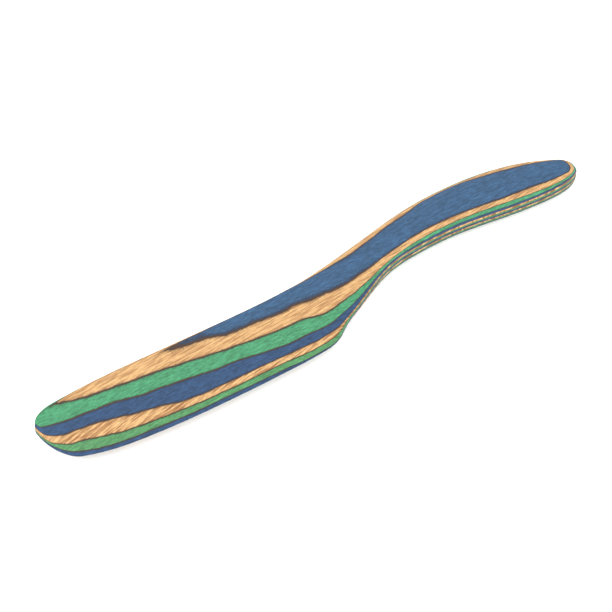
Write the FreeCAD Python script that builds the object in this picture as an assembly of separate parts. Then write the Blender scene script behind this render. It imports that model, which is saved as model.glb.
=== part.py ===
import FreeCAD, Part

import math
import os

from FreeCAD import Vector

# A table spreader sanded out of one block of dyed, laminated birch veneers.
# Millimetres. While it is shaped, x runs from the blade's tip to the handle's end, +Y is the side of the
# straight spine, and the block's middle plane is z = 0. It is moved onto its resting face at the end.

# Overall sizes
BLADE_LENGTH = 86.0        # tip to heel
HANDLE_LENGTH = 98.0       # heel to the handle's end
SPINE_RISE = 4.8           # blade's axis to its spine
EDGE_DROP = 19.4           # blade's axis to the lowest point of its cutting edge
HANDLE_WIDTH = 14.9        # handle at its widest
HANDLE_OFFSET = 6.45       # blade's axis to the handle's middle at its widest
BOARD_THICKNESS = 9.36     # the laminated board, before it is shaped
SANDED_OFF = 0.36          # taken off each face of the board at the handle
BLADE_THINNING = 0.92      # taken off each face more, at the ridge behind the tip
FLAT_DEPTH = 0.08          # taken off the underside more, where the spreader rests

# Laminate
VENEER_COUNT = 13
GLUE_THICKNESS = 0.08
FEATHER = 0.05             # a layer sanded thinner than this at its tip isn't kept
DYES = ("blue", "natural", "green")

# Roundings
TIP_ROUND = 7.4            # blade's tip in plan
END_ROUND = 17.0           # handle's end in plan
END_FULLNESS = 2.4         # 2 is an ellipse, and more is squarer
TIP_EDGE_ROUND = 1.6       # blade's tip in thickness
END_EDGE_ROUND = 5.0       # handle's end in thickness
TIP_ACROSS = -1.0          # foremost point of the tip, across the blade
END_ACROSS = 1.1           # hindmost point of the handle

# Cross-section: each quarter is a superellipse, where 1 is a flat wedge, 2 an ellipse and more is squarer
WEDGE_AT_TIP = 1.08
WEDGE_AT_HEEL = 1.5
HANDLE_FULLNESS = 3.5
SPINE_FULLNESS = 2.6
RIDGE_ON_BLADE = 0.085     # ridge's place between the spine and the edge
RIDGE_ON_HANDLE = 0.46
BLEND_LEAD = 6.0           # the blade's section starts to turn into the handle's this far before the heel
BLEND_LENGTH = 42.0        # and takes this long

# Outline points. On the blade they are shares of its length from the tip, and of its rise or drop.
# On the handle they are shares of its length from the heel, and of its width from its middle line.
SPINE_ON_BLADE = ((0.05, 0.81), (0.19, 1.0), (0.47, 0.98), (0.77, 0.84))
SPINE_ON_HANDLE = ((0.02, -0.11), (0.16, 0.055), (0.31, 0.265), (0.45, 0.44), (0.59, 0.5),
                   (0.735, 0.44), (0.86, 0.25), (0.95, 0.045))
EDGE_ON_BLADE = ((0.05, 0.71), (0.14, 0.84), (0.3, 0.95), (0.535, 1.0), (0.815, 0.995), (0.965, 0.965))
EDGE_ON_HANDLE = ((0.29, -0.65), (0.42, -0.5), (0.57, -0.5), (0.735, -0.63), (0.93, -0.715))
# The sweep under the heel: shares of the handle's length, and of the step from the edge up to the handle.
HEEL_SWEEP = ((0.033, 0.875), (0.084, 0.685), (0.137, 0.53), (0.214, 0.31))

# Fineness of the surface
STATIONS = 72              # sections along the length
BEVEL_POINTS = 12          # points from the edge up to the ridge
SPINE_POINTS = 7           # points from the ridge down to the spine
RIDGE_PARAMETER = 0.7      # the skin's parameter is 0 at the edge, 1 at the spine and 2 at the edge again
FINE = 240                 # steps that measure a section's length
LENGTHWISE_FACES = 12      # the skin is parted into faces, and this divides the stations evenly

LENGTH = BLADE_LENGTH + HANDLE_LENGTH
BLEND_START = BLADE_LENGTH - BLEND_LEAD
HALF_HANDLE = BOARD_THICKNESS / 2 - SANDED_OFF
REST = HALF_HANDLE - FLAT_DEPTH
PITCH = BOARD_THICKNESS / VENEER_COUNT
ROOM = 10.0                # how far the cutting slabs reach past the wood


def spline_through(points, parameters):
    curve = Part.BSplineCurve()
    curve.interpolate(Points=points, Parameters=parameters)
    return curve


def outline(points):
    """A smooth line in plan, whose parameter is x."""
    return spline_through([Vector(x, y, 0) for x, y in points], [x for x, y in points])


def on_blade(points, reach):
    return [(BLADE_LENGTH * along, reach * across) for along, across in points]


def on_handle(points):
    return [(BLADE_LENGTH + HANDLE_LENGTH * along, HANDLE_OFFSET + HANDLE_WIDTH * across)
            for along, across in points]


def heel_sweep():
    handle_side = HANDLE_OFFSET - HANDLE_WIDTH / 2
    step = handle_side + EDGE_DROP
    return [(BLADE_LENGTH + HANDLE_LENGTH * along, handle_side - step * down) for along, down in HEEL_SWEEP]


SPINE = outline(on_blade(SPINE_ON_BLADE, SPINE_RISE) + on_handle(SPINE_ON_HANDLE))
EDGE = outline(on_blade(EDGE_ON_BLADE, -EDGE_DROP) + heel_sweep() + on_handle(EDGE_ON_HANDLE))


def mix(a, b, share):
    return a + (b - a) * share


def ease(share):
    """0 to 1 with level ends."""
    share = min(max(share, 0.0), 1.0)
    return share * share * (3 - 2 * share)


def rounding(distance, radius, fullness=2.0):
    """0 at an end of the wood, growing round to 1 at the radius from it."""
    if distance >= radius:
        return 1.0
    return max(1 - (1 - distance / radius) ** fullness, 0.0) ** (1 / fullness)


def side(line, x):
    """How far out the line is at x, drawn in to a point at the tip and at the handle's end."""
    across = mix(TIP_ACROSS, line.value(x).y, rounding(x, TIP_ROUND))
    return mix(END_ACROSS, across, rounding(LENGTH - x, END_ROUND, END_FULLNESS))


def half_thickness(x):
    full = mix(HALF_HANDLE - BLADE_THINNING, HALF_HANDLE, ease(x / BLEND_START))
    return full * rounding(x, TIP_EDGE_ROUND) * rounding(LENGTH - x, END_EDGE_ROUND)


def quarter(fullness, share):
    """A point of the unit superellipse: (1, 0) at share 0 and (0, 1) at share 1."""
    c = math.cos(share * math.pi / 2)
    s = math.sin(share * math.pi / 2)
    r = (c ** fullness + s ** fullness) ** (-1 / fullness)
    return c * r, s * r


def bevel_and_back(x):
    """The top of the section at x as two fine runs of (y, z): from the edge to the ridge, and on to the spine."""
    spine, edge, height = side(SPINE, x), side(EDGE, x), half_thickness(x)
    blend = ease((x - BLEND_START) / BLEND_LENGTH)
    wedge = mix(WEDGE_AT_TIP, WEDGE_AT_HEEL, min(x / BLEND_START, 1.0))
    fullness = mix(wedge, HANDLE_FULLNESS, blend)
    ridge = mix(spine, edge, mix(RIDGE_ON_BLADE, RIDGE_ON_HANDLE, blend))
    bevel = []
    back = []
    for i in range(FINE + 1):
        out, up = quarter(fullness, i / FINE)
        bevel.append((mix(ridge, edge, out), height * up))
        out, up = quarter(SPINE_FULLNESS, 1 - i / FINE)
        back.append((mix(ridge, spine, out), height * up))
    return bevel, back


def spaced(points, shares):
    """Points of a fine run at the given shares of its length."""
    lengths = [0.0]
    for (y0, z0), (y1, z1) in zip(points, points[1:]):
        lengths.append(lengths[-1] + math.hypot(y1 - y0, z1 - z0))
    chosen = []
    i = 0
    for share in shares:
        target = share * lengths[-1]
        while i < len(points) - 2 and lengths[i + 1] < target:
            i += 1
        part = (target - lengths[i]) / (lengths[i + 1] - lengths[i])
        chosen.append((mix(points[i][0], points[i + 1][0], part), mix(points[i][1], points[i + 1][1], part)))
    return chosen


def close_at_ends(count):
    """Shares from 0 to 1 that crowd together at both ends."""
    return [(1 - math.cos(math.pi * i / count)) / 2 for i in range(count + 1)]


def section(x):
    """A whole section: from the edge over the top to the spine, and back underneath."""
    bevel, back = bevel_and_back(x)
    top = spaced(bevel, close_at_ends(BEVEL_POINTS)) + spaced(back, close_at_ends(SPINE_POINTS))[1:]
    under = [(y, -z) for y, z in reversed(top[:-1])]
    return [Vector(x, y, z) for y, z in top + under]


def section_parameters():
    bevel = [RIDGE_PARAMETER * share for share in close_at_ends(BEVEL_POINTS)]
    back = [mix(RIDGE_PARAMETER, 1.0, share) for share in close_at_ends(SPINE_POINTS)]
    top = bevel + back[1:]
    return top + [2 - parameter for parameter in reversed(top[:-1])]


def skin_through_sections():
    """One smooth surface over the whole spreader, through all its sections."""
    around = section_parameters()
    steps = [i / STATIONS for i in range(STATIONS + 1)]
    places = [LENGTH * share for share in close_at_ends(STATIONS)]
    tip = [Vector(0, TIP_ACROSS, 0)] * len(around)
    end = [Vector(LENGTH, END_ACROSS, 0)] * len(around)
    rows = [tip] + [section(x) for x in places[1:-1]] + [end]
    lengthwise = [spline_through(list(column), steps) for column in zip(*rows)]
    crosswise = [spline_through(list(row), around)
                 for row in list(zip(*[curve.getPoles() for curve in lengthwise]))[1:-1]]
    poles = [curve.getPoles() for curve in crosswise]
    poles = [[tip[0]] * len(poles[0])] + poles + [[end[0]] * len(poles[0])]
    skin = Part.BSplineSurface()
    skin.buildFromPolesMultsKnots(
        poles, lengthwise[0].getMultiplicities(), crosswise[0].getMultiplicities(),
        lengthwise[0].getKnots(), crosswise[0].getKnots(), False, False, 3, 3)
    return skin


def block():
    """The shaped wood before it is parted into veneers."""
    skin = skin_through_sections()
    half = (0.0, RIDGE_PARAMETER / 2, RIDGE_PARAMETER, 1.0)
    bounds = half + tuple(2 - parameter for parameter in reversed(half[:-1]))
    faces = []
    for i in range(LENGTHWISE_FACES):
        for start, end in zip(bounds, bounds[1:]):
            patch = skin.copy()
            patch.segment(i / LENGTHWISE_FACES, (i + 1) / LENGTHWISE_FACES, start, end)
            faces.append(patch.toShape())
    shell = Part.makeShell(faces)
    shell.sewShape()
    solid = Part.Solid(shell)
    if solid.Volume < 0:
        solid.reverse()
    return solid


def feathered_from(height):
    """Where along the blade the wood first stands a feather above this height."""
    x = TIP_EDGE_ROUND
    while half_thickness(x) < height + FEATHER:
        x += TIP_EDGE_ROUND / 10
    return x


def slab(low, high):
    """A slab wider than the wood between two heights, which leaves out the tip of a layer that feathers away."""
    width = 2 * (EDGE_DROP + HANDLE_OFFSET + HANDLE_WIDTH + ROOM)
    start = feathered_from(max(low, -high))
    if start <= TIP_EDGE_ROUND:
        start = -ROOM
    return Part.makeBox(LENGTH + ROOM - start, width, high - low, Vector(start, -width / 2, low))


def layers():
    """The name, bottom and top of every layer, from the top face down."""
    named = []
    for i in range(VENEER_COUNT):
        middle = ((VENEER_COUNT - 1) / 2 - i) * PITCH
        low = middle - (PITCH - GLUE_THICKNESS) / 2
        high = middle + (PITCH - GLUE_THICKNESS) / 2
        if i == 0:
            high += ROOM
        if i == VENEER_COUNT - 1:
            low = -REST
        named.append(("veneer_%02d_%s" % (i + 1, DYES[i % len(DYES)]), low, high))
        if i < VENEER_COUNT - 1:
            named.append(("glue_line_%02d" % (i + 1), low - GLUE_THICKNESS, low))
    return named


def main():
    wood = block()
    box = wood.optimalBoundingBox(False, False)
    to_rest = Vector(-(box.XMin + box.XMax) / 2, -(box.YMin + box.YMax) / 2, REST)
    os.makedirs("parts", exist_ok=True)
    for name, low, high in layers():
        piece = wood.common(slab(low, high))
        piece.translate(to_rest)
        piece.exportStep("parts/%s.step" % name)
        print(name, len(piece.Solids), piece.isValid(), round(piece.Volume, 2))


main()
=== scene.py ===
import math

import bmesh
import bpy
import numpy as np
from bpy.props import FloatProperty, FloatVectorProperty, IntProperty, PointerProperty
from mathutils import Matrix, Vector


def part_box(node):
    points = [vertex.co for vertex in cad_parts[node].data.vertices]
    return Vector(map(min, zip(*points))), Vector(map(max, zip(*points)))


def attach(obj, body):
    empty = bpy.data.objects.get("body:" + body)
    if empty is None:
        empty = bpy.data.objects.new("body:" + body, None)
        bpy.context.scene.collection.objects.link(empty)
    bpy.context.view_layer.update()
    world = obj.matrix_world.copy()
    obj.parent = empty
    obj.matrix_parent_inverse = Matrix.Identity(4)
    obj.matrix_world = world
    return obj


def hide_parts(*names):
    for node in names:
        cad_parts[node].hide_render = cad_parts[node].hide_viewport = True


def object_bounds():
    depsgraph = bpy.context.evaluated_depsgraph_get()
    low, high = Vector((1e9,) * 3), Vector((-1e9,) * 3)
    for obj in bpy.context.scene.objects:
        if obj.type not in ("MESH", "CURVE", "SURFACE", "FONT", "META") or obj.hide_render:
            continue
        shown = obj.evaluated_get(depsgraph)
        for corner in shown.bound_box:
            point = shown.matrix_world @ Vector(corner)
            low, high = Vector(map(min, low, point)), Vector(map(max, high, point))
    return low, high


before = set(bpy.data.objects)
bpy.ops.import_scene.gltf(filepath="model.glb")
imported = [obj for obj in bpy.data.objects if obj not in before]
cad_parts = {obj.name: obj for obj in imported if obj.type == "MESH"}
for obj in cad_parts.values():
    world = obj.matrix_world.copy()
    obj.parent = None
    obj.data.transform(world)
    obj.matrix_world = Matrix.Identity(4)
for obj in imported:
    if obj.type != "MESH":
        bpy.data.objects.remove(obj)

CAD_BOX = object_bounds()

bl_info = {
    "name": "Laminated Spreader",
    "version": (1, 0, 0),
    "blender": (4, 5, 0),
    "location": "View3D > Sidebar > Spreader",
    "description": "A table spreader sanded out of dyed, laminated birch veneers",
    "category": "Add Mesh",
}

MM = 0.001
DYES = ("blue", "natural", "green")
VENEER_COUNT = 13
GLUE_COUNT = VENEER_COUNT - 1

# Outline in plan. On the blade the points are shares of its length from the tip, and of its rise or drop.
# On the handle they are shares of its length from the heel, and of its width from its middle line.
SPINE_ON_BLADE = ((0.05, 0.81), (0.19, 1.0), (0.47, 0.98), (0.77, 0.84))
SPINE_ON_HANDLE = ((0.02, -0.11), (0.16, 0.055), (0.31, 0.265), (0.45, 0.44), (0.59, 0.5),
                   (0.735, 0.44), (0.86, 0.25), (0.95, 0.045))
EDGE_ON_BLADE = ((0.05, 0.71), (0.14, 0.84), (0.3, 0.95), (0.535, 1.0), (0.815, 0.995), (0.965, 0.965))
EDGE_ON_HANDLE = ((0.29, -0.65), (0.42, -0.5), (0.57, -0.5), (0.735, -0.63), (0.93, -0.715))
# The sweep under the heel: shares of the handle's length, and of the step from the edge up to the handle.
HEEL_SWEEP = ((0.033, 0.875), (0.084, 0.685), (0.137, 0.53), (0.214, 0.31))

# How each glue line of the upper half wanders as it goes from the tip to the handle's end: millimetres from
# the tip, and hundredths of a millimetre above its level. The first one is the uppermost.
WANDERINGS = (
    ((46, -2), (50, 0), (53, 3), (56, 5), (61, -2), (66, 1), (71, 6), (77, 2), (84, 6), (91, 9), (98, 7),
     (105, 10), (113, 0), (120, -4), (128, 3), (142, -1), (157, -2), (165, 3), (178, -5)),
    ((1, 27), (7, 25), (10, 18), (13, 7), (19, 2), (29, 6), (39, 15), (49, 17), (60, 15), (80, 10), (92, -1),
     (102, 2), (116, -24), (132, 0), (156, 9), (176, -10)),
    ((1, -2), (8, -2), (16, 5), (23, 11), (30, 4), (37, 10), (45, 12), (52, 9), (60, 13), (68, -1), (75, -12),
     (84, -11), (90, -6), (97, -20), (106, -10), (125, -18), (145, -5), (164, -12)),
    ((1, -16), (5, -8), (10, 6), (16, 12), (22, 5), (27, -4), (33, -8), (40, -27), (45, -28), (55, -18),
     (66, -7), (76, -7), (82, -13), (88, -1), (96, -44), (106, -18), (130, -20), (164, -8)),
    ((1, -24), (5, -4), (10, 6), (17, -2), (21, -9), (27, -8), (43, -6), (54, 0), (65, 9), (72, 10), (80, -4),
     (90, 2), (98, -14), (120, -6), (140, -22), (160, -8)),
    ((2, 6), (7, 9), (12, 2), (19, 2), (30, 10), (40, 10), (52, 19), (71, 19), (78, 2), (88, -6), (100, 0)),
)
# What the spine's side of the handle adds to the two uppermost lines.
SPINE_SIDE = (
    ((90, 0), (100, 8), (113, 18), (127, 4), (137, -32), (147, -38), (157, -6)),
    ((84, -4), (100, -16), (130, -20), (165, -18), (178, -4)),
)
LOWER_HALF_SHIFT = 11 * MM     # the lower lines wander like the upper ones, but further along
LOWER_HALF_SHARE = -0.7

# Ripple of the glue lines: wavelengths along and across the grain, and heights.
RIPPLES = ((7.1 * MM, 31 * MM, 0.006 * MM), (3.7 * MM, 14 * MM, 0.004 * MM), (1.6 * MM, 5 * MM, 0.002 * MM))
GLUE_SWELLING = ((9.1 * MM, 17 * MM, 0.008 * MM), (2.9 * MM, 5.3 * MM, 0.005 * MM))
RIPPLE_SWAY = 1.7              # in radians: how far a ripple bends forwards and back as it crosses the grain
FADE_LENGTH = 15 * MM          # over which a line's wandering dies out behind its last place
PURE_GLUE = 0.8                # of each glue line's height; the rest has soaked into the veneers

ALONG_SEGMENTS = 560
AROUND_SEGMENTS = 168
FAR_FROM_GLUE = 1.0            # in millimetres: wood that no glue line is near
NO_SNAPPING = 1e-9             # metres from a cut within which a point would be moved onto it

# Sizes of the wood's figure in millimetres: along the fibres, across them, and in depth.
CLOUDS = (2.6, 0.8, 2.0)
FIBRES = (1.4, 0.22, 1.2)
STREAKS = (5.5, 0.34, 3.0)
RAGGED_BORDER = (0.9, 0.2, 0.5)
GLUE_SPECKS = (0.9, 0.3, 0.3)
DEEPEST_SOAKING = 0.06         # in millimetres
INNER_VENEERS = range(4, 12)   # the ones further out are worn paler and figured less

STUDIO_LIGHT = 2.3             # how much brighter than its own colour the light makes a face that looks up
STUDIO_SHEEN = 0.031           # and how much white it adds
FLECK_TINT = (0.48, 0.36, 0.31)  # how much of each primary colour a dark fleck keeps


def dye(red, green, blue):
    """The linear colour that looks like these 0 to 255 steps in the studio's light."""
    steps = (red / 255, green / 255, blue / 255)
    linear = (s / 12.92 if s <= 0.04045 else ((s + 0.055) / 1.055) ** 2.4 for s in steps)
    return tuple(max(s - STUDIO_SHEEN, 0.0) / STUDIO_LIGHT for s in linear)


def kind_of(number):
    """The dye of the veneer with this number, counted from the top."""
    return DYES[(number - 1) % len(DYES)]


class SpreaderShape(bpy.types.PropertyGroup):
    """Sizes of the shaped wood."""
    blade_length: FloatProperty(name="Blade Length", description="From the tip to the heel",
                                default=86 * MM, unit="LENGTH")
    handle_length: FloatProperty(name="Handle Length", description="From the heel to the handle's end",
                                 default=98 * MM, unit="LENGTH")
    spine_rise: FloatProperty(name="Spine Rise", description="From the blade's axis to its spine",
                              default=4.8 * MM, unit="LENGTH")
    edge_drop: FloatProperty(name="Edge Drop", description="From the blade's axis to its cutting edge",
                             default=19.4 * MM, unit="LENGTH")
    handle_width: FloatProperty(name="Handle Width", description="The handle at its widest",
                                default=14.9 * MM, unit="LENGTH")
    handle_offset: FloatProperty(name="Handle Offset", default=6.45 * MM, unit="LENGTH",
                                 description="From the blade's axis to the handle's middle")
    half_handle: FloatProperty(name="Half Handle", default=4.32 * MM, unit="LENGTH",
                               description="From the middle veneer's middle to the top face")
    blade_thinning: FloatProperty(name="Blade Thinning", default=0.92 * MM, unit="LENGTH",
                                  description="How much thinner each half is at the tip than on the handle")
    tip_round: FloatProperty(name="Tip Rounding", description="The blade's tip in plan",
                             default=7.4 * MM, unit="LENGTH")
    end_round: FloatProperty(name="End Rounding", description="The handle's end in plan",
                             default=17 * MM, unit="LENGTH")
    tip_edge_round: FloatProperty(name="Tip Edge Rounding", description="The blade's tip in thickness",
                                  default=1.6 * MM, unit="LENGTH")
    end_edge_round: FloatProperty(name="End Edge Rounding", description="The handle's end in thickness",
                                  default=5.0 * MM, unit="LENGTH")
    tip_across: FloatProperty(name="Tip Across", description="The foremost point, across the blade",
                              default=-1.0 * MM, unit="LENGTH")
    end_across: FloatProperty(name="End Across", description="The hindmost point, across the handle",
                              default=1.1 * MM, unit="LENGTH")
    blend_lead: FloatProperty(name="Blend Lead", default=6 * MM, unit="LENGTH",
                              description="How far before the heel the section starts to change")
    blend_length: FloatProperty(name="Blend Length", default=42 * MM, unit="LENGTH",
                                description="How long the section takes to change")


class SpreaderFinish(bpy.types.PropertyGroup):
    """Colours of the dyed wood and of the glue."""
    top_blue: FloatVectorProperty(name="Top Blue", description="The worn blue of the two outer faces",
                                  subtype="COLOR", size=3, default=dye(84, 115, 150))
    deep_blue: FloatVectorProperty(name="Deep Blue", description="The blue of the inner veneers",
                                   subtype="COLOR", size=3, default=dye(77, 101, 136))
    natural: FloatVectorProperty(name="Natural", description="The undyed birch",
                                 subtype="COLOR", size=3, default=dye(241, 195, 139))
    upper_green: FloatVectorProperty(name="Upper Green", description="The green of the outer green veneers",
                                     subtype="COLOR", size=3, default=dye(98, 173, 129))
    lower_green: FloatVectorProperty(name="Lower Green", description="The green of the inner green veneers",
                                     subtype="COLOR", size=3, default=dye(108, 168, 117))
    glue: FloatVectorProperty(name="Glue", description="The cured glue",
                              subtype="COLOR", size=3, default=dye(80, 62, 54))


class SpreaderStage(bpy.types.PropertyGroup):
    """Camera, floor and lights."""
    elevation: FloatProperty(name="Elevation", description="The camera's height above the horizon",
                             default=math.radians(52), subtype="ANGLE")
    turn: FloatProperty(name="Turn", description="How far the tip is turned towards the camera",
                        default=math.radians(31.3), subtype="ANGLE")
    distance: FloatProperty(name="Distance", description="From the camera to the middle of the spreader",
                            default=0.7, unit="LENGTH")
    lens: FloatProperty(name="Lens", description="Focal length of the camera, in millimetres", default=142.5)
    segments: IntProperty(name="Floor Segments", description="Corners of the round floor", default=64)


def mix(a, b, share):
    return a + (b - a) * share


def ease(share):
    """0 to 1 with level ends."""
    share = np.clip(share, 0.0, 1.0)
    return share * share * (3 - 2 * share)


def rounding(distance, radius, fullness=2.0):
    """0 at an end of the wood, growing round to 1 at the radius from it."""
    reach = 1 - np.clip(distance / radius, 0.0, 1.0)
    return np.maximum(1 - reach ** fullness, 0.0) ** (1 / fullness)


def smooth_line(points):
    """A cubic line through (x, y) points that is straight at both ends, as a function of x."""
    x, y = np.array(points, float).T
    step, rise = np.diff(x), np.diff(y)
    count = len(x)
    rows, right = np.zeros((count, count)), np.zeros(count)
    rows[0, 0] = rows[-1, -1] = 1.0
    for i in range(1, count - 1):
        rows[i, i - 1:i + 2] = step[i - 1], 2 * (step[i - 1] + step[i]), step[i]
        right[i] = 6 * (rise[i] / step[i] - rise[i - 1] / step[i - 1])
    bend = np.linalg.solve(rows, right)

    def value(at):
        i = np.clip(np.searchsorted(x, at) - 1, 0, count - 2)
        h, a, b = step[i], at - x[i], x[i + 1] - at
        inside = (bend[i] * b ** 3 + bend[i + 1] * a ** 3) / (6 * h) + (y[i] / h - bend[i] * h / 6) * b
        return inside + (y[i + 1] / h - bend[i + 1] * h / 6) * a

    return value


def quarter(fullness, share):
    """Points of the unit superellipse: (1, 0) at share 0 and (0, 1) at share 1."""
    c = np.cos(share * math.pi / 2)
    s = np.sin(share * math.pi / 2)
    r = (c ** fullness + s ** fullness) ** (-1 / fullness)
    return c * r, s * r


class Wood:
    """The spreader's outside as a formula. x runs from the tip, and z = 0 is the board's middle plane."""

    # Fullness of the rounded outlines and sections: 1 is a straight bevel, 2 is an ellipse, more is squarer.
    END_FULLNESS = 2.4
    WEDGE_AT_TIP = 1.08
    WEDGE_AT_HEEL = 1.5
    HANDLE_FULLNESS = 3.5
    SPINE_FULLNESS = 2.6
    # Where the section is thickest, as a share of the way from the spine to the edge.
    RIDGE_ON_BLADE = 0.085
    RIDGE_ON_HANDLE = 0.46
    SPINE_SIDE_REACH = 0.6     # the spine's side grows out of the middle over this share of the half width

    def __init__(self, shape):
        self.shape = shape
        self.length = shape.blade_length + shape.handle_length
        self.blend_start = shape.blade_length - shape.blend_lead
        spine = self.on_blade(SPINE_ON_BLADE, shape.spine_rise) + self.on_handle(SPINE_ON_HANDLE)
        blade_edge = self.on_blade(EDGE_ON_BLADE, -shape.edge_drop)
        edge = blade_edge + self.heel_sweep() + self.on_handle(EDGE_ON_HANDLE)
        self.spine, self.edge = smooth_line(spine), smooth_line(edge)
        self.sideways = 0.0    # how far the wood has been moved in y to its place

    def on_blade(self, points, reach):
        return [(self.shape.blade_length * along, reach * across) for along, across in points]

    def on_handle(self, points):
        shape = self.shape
        return [(shape.blade_length + shape.handle_length * along,
                 shape.handle_offset + shape.handle_width * across) for along, across in points]

    def heel_sweep(self):
        shape = self.shape
        handle_side = shape.handle_offset - shape.handle_width / 2
        step = handle_side + shape.edge_drop
        return [(shape.blade_length + shape.handle_length * along, handle_side - step * down)
                for along, down in HEEL_SWEEP]

    def side(self, line, x):
        """How far out the line is at x, drawn in to a point at the tip and at the handle's end."""
        shape = self.shape
        across = mix(shape.tip_across, line(x), rounding(x, shape.tip_round))
        return mix(shape.end_across, across, rounding(self.length - x, shape.end_round, self.END_FULLNESS))

    def towards_spine(self, points):
        """0 on the middle line of the placed wood, and 1 well on the spine's side of it."""
        x = points[:, 0] - CAD_BOX[0].x
        spine, edge = self.spine(x), self.edge(x)
        across = points[:, 1] - self.sideways - (spine + edge) / 2
        return across / (self.SPINE_SIDE_REACH * (spine - edge) / 2)

    def half_thickness(self, x):
        shape = self.shape
        full = mix(shape.half_handle - shape.blade_thinning, shape.half_handle, ease(x / self.blend_start))
        ends = rounding(x, shape.tip_edge_round) * rounding(self.length - x, shape.end_edge_round)
        return full * ends

    def surface(self, x, around):
        """Points on the outside. around is 0 at the cutting edge and half a turn at the spine."""
        spine, edge, height = self.side(self.spine, x), self.side(self.edge, x), self.half_thickness(x)
        blend = ease((x - self.blend_start) / self.shape.blend_length)
        wedge = mix(self.WEDGE_AT_TIP, self.WEDGE_AT_HEEL, np.clip(x / self.blend_start, 0.0, 1.0))
        bevel_fullness = mix(wedge, self.HANDLE_FULLNESS, blend)
        ridge = mix(spine, edge, mix(self.RIDGE_ON_BLADE, self.RIDGE_ON_HANDLE, blend))
        share = np.abs(around) / (math.pi / 2)
        on_bevel = share <= 1
        share = np.where(on_bevel, share, 2 - share)
        out, up = quarter(np.where(on_bevel, bevel_fullness, self.SPINE_FULLNESS), share)
        y = mix(ridge, np.where(on_bevel, edge, spine), out)
        return np.stack([x, y, np.sign(around) * height * up], axis=1)


def coordinates(mesh):
    flat = np.empty(len(mesh.vertices) * 3)
    mesh.vertices.foreach_get("co", flat)
    return flat.reshape(-1, 3)


def place(mesh, points):
    mesh.vertices.foreach_set("co", np.ascontiguousarray(points).ravel())
    mesh.update()


def block_mesh(wood):
    """The whole shaped block, on its resting face, as one fine skin: a globe drawn out into the spreader."""
    mesh = bpy.data.meshes.new("shaped_block")
    work = bmesh.new()
    bmesh.ops.create_uvsphere(work, u_segments=AROUND_SEGMENTS, v_segments=ALONG_SEGMENTS, radius=1)
    work.to_mesh(mesh)
    work.free()
    globe = coordinates(mesh)
    along = wood.length * (1 - np.clip(globe[:, 2], -1, 1)) / 2
    around = np.arctan2(globe[:, 1], globe[:, 0])
    points = wood.surface(along, around)
    low, high = CAD_BOX
    points[:, 0] += low.x
    wood.sideways = (low.y + high.y) / 2 - (points[:, 1].min() + points[:, 1].max()) / 2
    points[:, 1] += wood.sideways
    points[:, 2] += high.z - points[:, 2].max()
    place(mesh, points)
    work = bmesh.new()
    work.from_mesh(mesh)
    bmesh.ops.recalc_face_normals(work, faces=work.faces)
    work.to_mesh(mesh)
    work.free()
    mesh.polygons.foreach_set("use_smooth", [True] * len(mesh.polygons))
    return mesh


def ripple(terms, seed, points):
    """A small wave of several wavelengths, which the seed sets going differently."""
    turn = np.random.default_rng(seed).uniform(0, 2 * math.pi, (len(terms), 2))
    x, y = points[:, 0], points[:, 1]
    height = np.zeros(len(points))
    for (along, across, size), (start, sway) in zip(terms, turn):
        bend = np.sin(2 * math.pi * y / across + sway)
        height += size * np.sin(2 * math.pi * x / along + start + RIPPLE_SWAY * bend)
    return height


def rise_along(places, at):
    """Height of a smooth line through places, which goes out to nothing behind the last one."""
    x, height = np.array(places, float).T * MM
    x, height = np.append(x, x[-1] + FADE_LENGTH), np.append(height / 100, 0.0)
    i = np.clip(np.searchsorted(x, at) - 1, 0, len(x) - 2)
    return mix(height[i], height[i + 1], ease((at - x[i]) / (x[i + 1] - x[i])))


def wander(line, wood, points):
    """How far the glue line with this number stands above its level at the points."""
    at = points[:, 0] - CAD_BOX[0].x
    if line > GLUE_COUNT // 2:
        height = LOWER_HALF_SHARE * rise_along(WANDERINGS[GLUE_COUNT - line], at - LOWER_HALF_SHIFT)
    else:
        height = rise_along(WANDERINGS[line - 1], at)
    if line <= len(SPINE_SIDE):
        height += rise_along(SPINE_SIDE[line - 1], at) * ease(wood.towards_spine(points))
    return height + ripple(RIPPLES, line, points)


def glue_faces(line, wood):
    """The lower and the upper face of a glue line, each as a level and a function of the points."""
    low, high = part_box("glue_line_%02d" % line)
    middle, half = (low.z + high.z) / 2, (high.z - low.z) * PURE_GLUE / 2

    def lower(points):
        return wander(line, wood, points) + ripple(GLUE_SWELLING, line + 100, points)

    def upper(points):
        return wander(line, wood, points)

    return (middle - half, lower), (middle + half, upper)


def cut(mesh, face, keep_below):
    """Parts the mesh at a wavy face and closes the cut. The face is flat while it is cut."""
    level, wave = face
    points = coordinates(mesh)
    points[:, 2] -= wave(points)
    place(mesh, points)
    work = bmesh.new()
    work.from_mesh(mesh)
    made = bmesh.ops.bisect_plane(
        work, geom=work.verts[:] + work.edges[:] + work.faces[:], dist=NO_SNAPPING,
        plane_co=(0, 0, level), plane_no=(0, 0, 1), clear_outer=keep_below, clear_inner=not keep_below)
    rim = [item for item in made["geom_cut"] if isinstance(item, bmesh.types.BMEdge)]
    for edge in rim:
        edge.smooth = False
    caps = bmesh.ops.triangle_fill(
        work, use_beauty=True, edges=rim, normal=(0, 0, 1 if keep_below else -1))["geom"]
    for item in caps:
        if isinstance(item, bmesh.types.BMFace):
            item.smooth = False
    work.to_mesh(mesh)
    work.free()
    points = coordinates(mesh)
    points[:, 2] += wave(points)
    place(mesh, points)


def mark_distance(mesh, name, face, sign):
    """Writes how far each point is from a glue face, in millimetres, for the finish to read."""
    points = coordinates(mesh)
    if face is None:
        distance = np.full(len(points), FAR_FROM_GLUE)
    else:
        level, wave = face
        distance = sign * (points[:, 2] - level - wave(points)) / MM
    layer = mesh.attributes.new(name, "FLOAT", "POINT")
    layer.data.foreach_set("value", distance.astype(np.float32))


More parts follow.
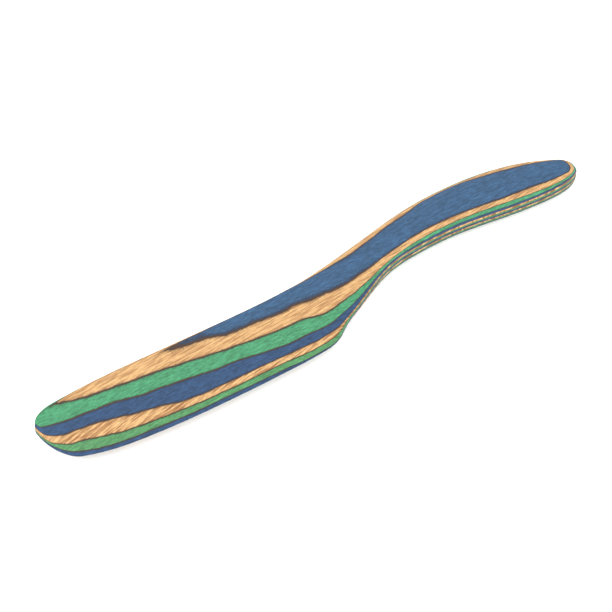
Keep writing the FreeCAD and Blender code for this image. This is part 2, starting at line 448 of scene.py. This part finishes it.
def make_layer(block, node, top, bottom, material):
    """Cuts one veneer or glue line out of the block and puts it in its CAD node's place."""
    mesh = block.copy()
    mesh.name = node + "_wood"
    if top:
        cut(mesh, top, keep_below=True)
    if bottom:
        cut(mesh, bottom, keep_below=False)
    mark_distance(mesh, "below_glue", top, -1)
    mark_distance(mesh, "above_glue", bottom, 1)
    piece = bpy.data.objects.new(node + "_wood", mesh)
    bpy.context.scene.collection.objects.link(piece)
    mesh.materials.append(material)
    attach(piece, "root")
    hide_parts(node)


def resting_face():
    """The flat place that the spreader lies on, as a level and its waves, which are none."""
    return CAD_BOX[0].z, lambda points: np.zeros(len(points))


class Finish:
    """A material that is put together node by node."""

    def __init__(self, name):
        self.material = bpy.data.materials.new(name)
        self.material.use_nodes = True
        self.nodes = self.material.node_tree.nodes
        self.links = self.material.node_tree.links
        self.shader = self.nodes["Principled BSDF"]

    def put(self, socket, value):
        if isinstance(value, bpy.types.NodeSocket):
            self.links.new(value, socket)
        else:
            socket.default_value = value

    def add(self, kind, inputs, **settings):
        node = self.nodes.new(kind)
        for name, value in settings.items():
            setattr(node, name, value)
        for name, value in inputs.items():
            self.put(node.inputs[name], value)
        return node

    def math(self, operation, a, b=0.0):
        node = self.add("ShaderNodeMath", {}, operation=operation)
        self.put(node.inputs[0], a)
        self.put(node.inputs[1], b)
        return node.outputs[0]

    def spread(self, value, low, high, to_low=0.0, to_high=1.0):
        """Maps low to high onto another range, clamped."""
        node = self.add("ShaderNodeMapRange", {
            "Value": value, "From Min": low, "From Max": high, "To Min": to_low, "To Max": to_high})
        return node.outputs["Result"]

    def blend(self, share, a, b, mode="MIX"):
        node = self.add("ShaderNodeMix", {}, data_type="RGBA", blend_type=mode)
        self.put(node.inputs["Factor"], share)
        self.put(node.inputs[6], a)
        self.put(node.inputs[7], b)
        return node.outputs[2]

    def along_grain(self, angle, sizes, offset=0.0):
        """Object coordinates laid along the fibres, where one unit is the given size each way."""
        where = self.add("ShaderNodeTexCoord", {}).outputs["Object"]
        turned = self.add("ShaderNodeMapping", {"Vector": where, "Rotation": (0, 0, -angle)})
        scale = tuple(1 / (size * MM) for size in sizes)
        node = self.add("ShaderNodeMapping", {
            "Vector": turned.outputs[0], "Location": (offset, offset * 0.7, offset * 1.3), "Scale": scale})
        return node.outputs[0]

    def noise(self, where, detail, roughness):
        node = self.add("ShaderNodeTexNoise", {
            "Vector": where, "Scale": 1.0, "Detail": detail, "Roughness": roughness})
        return node.outputs["Fac"]

    def distance(self, name):
        return self.add("ShaderNodeAttribute", {}, attribute_name=name).outputs["Fac"]


def shaded(colour, factor):
    return tuple(part * factor for part in colour) + (1.0,)


def veneer_finish(name, colour, glue, grain, seed):
    """Sanded birch: fibres and dark flecks along the grain, cloudy dye, and glue soaked in at the joints."""
    finish = Finish(name)
    cloud = finish.noise(finish.along_grain(grain.angle, CLOUDS, seed), detail=3.0, roughness=0.65)
    fibre = finish.noise(finish.along_grain(grain.angle, FIBRES, seed + 5), detail=2.0, roughness=0.7)
    streak = finish.noise(finish.along_grain(grain.angle, STREAKS, seed + 9), detail=1.5, roughness=0.55)
    clouded = finish.spread(cloud, 0.36, 0.64, 1 - grain.mottle, 1 + grain.mottle)
    fibrous = finish.spread(fibre, 0.36, 0.64, 1 - grain.fibre, 1 + grain.fibre)
    wood = finish.blend(1.0, shaded(colour, 1), finish.math("MULTIPLY", clouded, fibrous), "MULTIPLY")
    fleck = tuple(part * share for part, share in zip(colour, FLECK_TINT)) + (1.0,)
    wood = finish.blend(finish.spread(streak, 0.56, 0.42, 0.0, grain.flecks), wood, fleck)
    border = finish.along_grain(grain.angle, RAGGED_BORDER, seed + 17)
    ragged = finish.noise(border, detail=2.0, roughness=0.7)
    depth = finish.spread(ragged, 0.42, 0.7, 0.0, DEEPEST_SOAKING)
    nearest = finish.math("MINIMUM", finish.distance("below_glue"), finish.distance("above_glue"))
    from_soaked = finish.math("SUBTRACT", nearest, finish.math("MULTIPLY", depth, grain.soaking))
    soaked = finish.spread(from_soaked, 0.04 * grain.soaking, -0.02, 0.0, 0.8)
    joint = tuple(mix(part * 0.4, dark, 0.5) for part, dark in zip(colour, glue)) + (1.0,)
    wood = finish.blend(soaked, wood, joint)
    finish.put(finish.shader.inputs["Base Color"], wood)
    finish.put(finish.shader.inputs["Roughness"], finish.spread(cloud, 0.3, 0.7, 0.54, 0.66))
    finish.shader.inputs["Specular IOR Level"].default_value = 0.16
    bump = finish.add("ShaderNodeBump", {"Strength": 0.25, "Distance": 0.04 * MM, "Height": fibre})
    finish.put(finish.shader.inputs["Normal"], bump.outputs[0])
    return finish.material


def glue_finish(glue, seed):
    """Cured glue, darker and lighter by turns, with wood dust sanded into it."""
    finish = Finish("cured_glue")
    speck = finish.noise(finish.along_grain(0.0, GLUE_SPECKS, seed), detail=3.0, roughness=0.7)
    colour = finish.blend(finish.spread(speck, 0.35, 0.7), shaded(glue, 0.75), shaded(glue, 1.5))
    finish.put(finish.shader.inputs["Base Color"], colour)
    finish.put(finish.shader.inputs["Roughness"], finish.spread(speck, 0.3, 0.7, 0.42, 0.6))
    finish.shader.inputs["Specular IOR Level"].default_value = 0.35
    return finish.material


class Grain:
    """How one veneer is figured: fibre direction, how strong its clouds, fibres and dark flecks are, and how
    deep the glue soaked in."""

    def __init__(self, degrees, mottle, fibre, flecks, soaking=1.0):
        self.angle = math.radians(degrees)
        self.mottle = mottle
        self.fibre = fibre
        self.flecks = flecks
        self.soaking = soaking


# Figure of each kind of veneer: further out, and among the inner ones.
GRAINS = {
    "blue": (Grain(0, mottle=0.14, fibre=0.24, flecks=0.3, soaking=1.8),
             Grain(0, mottle=0.16, fibre=0.26, flecks=0.3)),
    "natural": (Grain(5, mottle=0.08, fibre=0.18, flecks=0.7),
                Grain(10, mottle=0.13, fibre=0.28, flecks=1.0)),
    "green": (Grain(3, mottle=0.13, fibre=0.28, flecks=0.25),
              Grain(3, mottle=0.13, fibre=0.28, flecks=0.25)),
}


def veneer_look(finish, number):
    """Colour and grain of the veneer with this number from the top."""
    colours = {
        "blue": (finish.top_blue, finish.deep_blue),
        "natural": (finish.natural, finish.natural),
        "green": (finish.upper_green, finish.lower_green),
    }
    kind = kind_of(number)
    inner = number in INNER_VENEERS
    return colours[kind][inner], GRAINS[kind][inner]


class SPREADER_OT_veneers(bpy.types.Operator):
    """Cuts the dyed veneers out of the shaped block"""
    bl_idname = "spreader.veneers"
    bl_label = "Veneers"

    def execute(self, context):
        scene = context.scene
        wood = Wood(scene.spreader_shape)
        block = block_mesh(wood)
        for number in range(1, VENEER_COUNT + 1):
            kind = kind_of(number)
            node = "veneer_%02d_%s" % (number, kind)
            top = glue_faces(number - 1, wood)[0] if number > 1 else None
            bottom = glue_faces(number, wood)[1] if number < VENEER_COUNT else resting_face()
            colour, grain = veneer_look(scene.spreader_finish, number)
            material = veneer_finish(
                "%s_veneer_%02d" % (kind, number), colour, scene.spreader_finish.glue, grain, number * 3.1)
            make_layer(block, node, top, bottom, material)
        bpy.data.meshes.remove(block)
        return {"FINISHED"}


class SPREADER_OT_glue_lines(bpy.types.Operator):
    """Cuts the glue lines between the veneers out of the shaped block"""
    bl_idname = "spreader.glue_lines"
    bl_label = "Glue Lines"

    def execute(self, context):
        scene = context.scene
        wood = Wood(scene.spreader_shape)
        block = block_mesh(wood)
        material = glue_finish(scene.spreader_finish.glue, 2.0)
        for number in range(1, GLUE_COUNT + 1):
            bottom, top = glue_faces(number, wood)
            make_layer(block, "glue_line_%02d" % number, top, bottom, material)
        bpy.data.meshes.remove(block)
        return {"FINISHED"}


def area_light(name, energy, size, where, aim):
    """A round soft light that shines from where it stands to its aim."""
    data = bpy.data.lights.new(name, "AREA")
    data.shape = "DISK"
    data.energy = energy
    data.size = size
    light = bpy.data.objects.new(name, data)
    light.location = where
    light.rotation_euler = (Vector(aim) - Vector(where)).to_track_quat("-Z", "Y").to_euler()
    bpy.context.scene.collection.objects.link(light)


class SPREADER_OT_stage(bpy.types.Operator):
    """Makes the floor, the soft light and the camera"""
    bl_idname = "spreader.stage"
    bl_label = "Stage"

    AIM = (-4.8 * MM, 0.9 * MM, 4.24 * MM)   # the camera looks just beside the middle of the spreader
    FLOOR_RADIUS = 3.0

    def execute(self, context):
        scene = context.scene
        stage = scene.spreader_stage
        self.make_floor(scene, stage.segments)
        self.make_lights(scene)
        self.make_camera(scene, stage)
        return {"FINISHED"}

    def make_floor(self, scene, segments):
        mesh = bpy.data.meshes.new("floor")
        work = bmesh.new()
        bmesh.ops.create_circle(work, cap_ends=True, segments=segments, radius=self.FLOOR_RADIUS)
        work.to_mesh(mesh)
        work.free()
        floor = bpy.data.objects.new("floor", mesh)
        scene.collection.objects.link(floor)
        finish = Finish("pale_floor")
        finish.shader.inputs["Base Color"].default_value = (0.97, 0.97, 0.97, 1)
        finish.shader.inputs["Roughness"].default_value = 0.9
        finish.shader.inputs["Specular IOR Level"].default_value = 0.1
        mesh.materials.append(finish.material)

    def make_lights(self, scene):
        world = bpy.data.worlds.new("studio")
        world.use_nodes = True
        background = world.node_tree.nodes["Background"]
        background.inputs["Color"].default_value = (1, 1, 1, 1)
        background.inputs["Strength"].default_value = 1.8
        scene.world = world
        area_light("key", energy=9.0, size=1.2, where=(-0.5, 0.35, 0.9), aim=self.AIM)
        area_light("fill", energy=10.0, size=1.3, where=(-0.35, -0.95, 0.4), aim=self.AIM)
        scene.view_settings.view_transform = "Standard"

    def make_camera(self, scene, stage):
        data = bpy.data.cameras.new("camera")
        data.lens = stage.lens
        camera = bpy.data.objects.new("camera", data)
        level = math.cos(stage.elevation)
        down = math.sin(stage.elevation)
        away = Vector((math.sin(stage.turn) * level, math.cos(stage.turn) * level, -down))
        camera.location = Vector(self.AIM) - away * stage.distance
        camera.rotation_euler = away.to_track_quat("-Z", "Y").to_euler()
        scene.collection.objects.link(camera)
        scene.camera = camera


class SPREADER_PT_panel(bpy.types.Panel):
    """Lists the steps that make the spreader"""
    bl_idname = "SPREADER_PT_panel"
    bl_label = "Laminated Spreader"
    bl_space_type = "VIEW_3D"
    bl_region_type = "UI"
    bl_category = "Spreader"

    def draw(self, context):
        scene = context.scene
        for group in (scene.spreader_shape, scene.spreader_finish, scene.spreader_stage):
            box = self.layout.box()
            for name in group.bl_rna.properties.keys():
                if name not in ("rna_type", "name"):
                    box.prop(group, name)
        for step in STEPS:
            self.layout.operator(step.bl_idname)


STEPS = (SPREADER_OT_stage, SPREADER_OT_veneers, SPREADER_OT_glue_lines)
GROUPS = {"spreader_shape": SpreaderShape, "spreader_finish": SpreaderFinish, "spreader_stage": SpreaderStage}


def register():
    for made in (*GROUPS.values(), *STEPS, SPREADER_PT_panel):
        bpy.utils.register_class(made)
    for name, group in GROUPS.items():
        setattr(bpy.types.Scene, name, PointerProperty(type=group))


def unregister():
    for name in GROUPS:
        delattr(bpy.types.Scene, name)
    for made in reversed((*GROUPS.values(), *STEPS, SPREADER_PT_panel)):
        bpy.utils.unregister_class(made)


def main():
    register()
    bpy.ops.spreader.stage()
    bpy.ops.spreader.veneers()
    bpy.ops.spreader.glue_lines()


if __name__ == "__main__":
    main()
